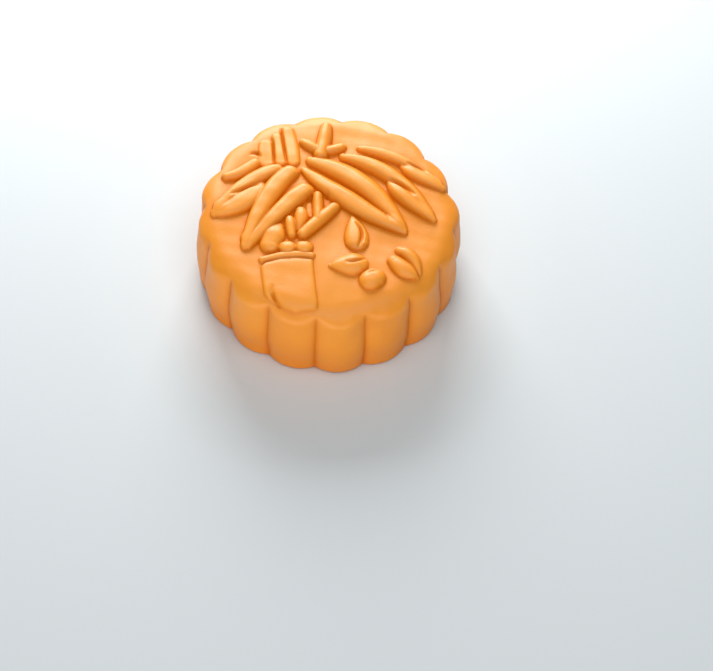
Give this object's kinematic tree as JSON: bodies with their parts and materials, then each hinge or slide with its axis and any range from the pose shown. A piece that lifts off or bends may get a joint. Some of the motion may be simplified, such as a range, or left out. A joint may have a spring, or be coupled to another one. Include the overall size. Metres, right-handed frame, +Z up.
{
  "type": "mooncake",
  "caption": "Round moulded mooncake with scalloped sides, a soft shoulder and a bamboo scene of leaves, twigs, shoots and petals pressed in relief on its domed top.",
  "frame": {"origin": "middle of the flat base, on the surface the cake rests on", "axes": "+Z up through the patterned top, +Y towards the back of the picture where the leaves spring from, -Y towards the foot of the bamboo culm, +X to the right of the picture"},
  "size_m": [0.0808, 0.0808, 0.0312],
  "materials": {
    "dough": "soft matte orange dough with a faint oily sheen"
  },
  "bodies": {
    "root": {"mooncake": "dough"}
  },
  "joints": []
}
